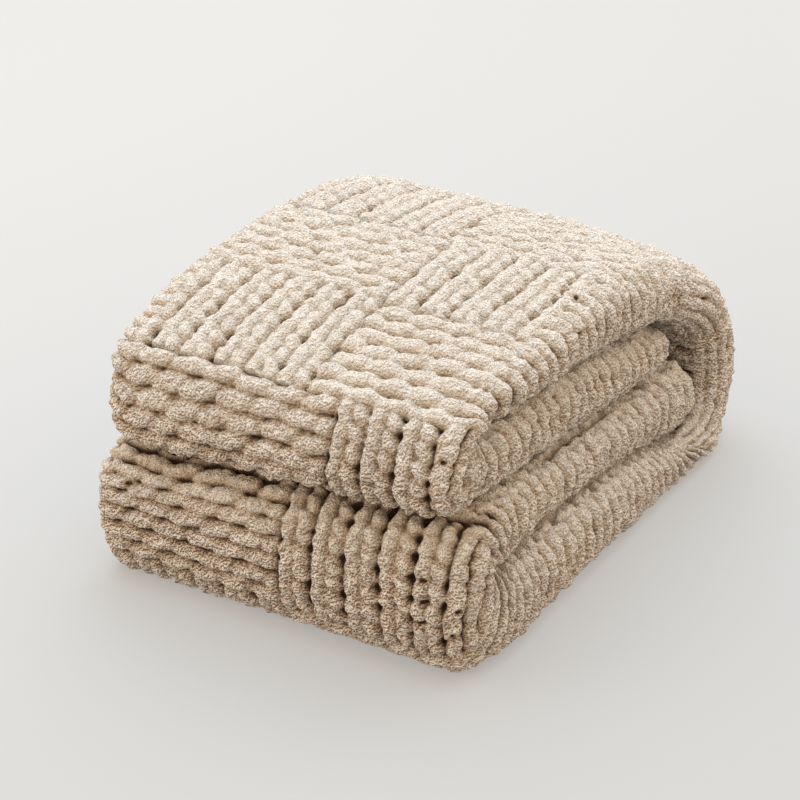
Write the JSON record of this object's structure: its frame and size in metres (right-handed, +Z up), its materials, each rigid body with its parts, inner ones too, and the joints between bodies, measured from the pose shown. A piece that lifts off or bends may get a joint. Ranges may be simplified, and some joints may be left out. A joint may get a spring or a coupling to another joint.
{
  "type": "folded chunky knit blanket",
  "caption": "Chunky knit chenille blanket in a basket weave of columns and ridges, folded into a thick soft bundle that rests on a flat surface.",
  "frame": {"origin": "on the surface it rests on, under the middle of the folded blanket's box", "axes": "+Z up, +Y from the two front rolls towards the spine of the fold at the back, +X along the folds to the right when the rolls are seen from the front"},
  "size_m": [0.4038, 0.558, 0.2718],
  "materials": {
    "chenille": "soft matte pile"
  },
  "bodies": {
    "root": {"blanket": "chenille"}
  },
  "joints": []
}
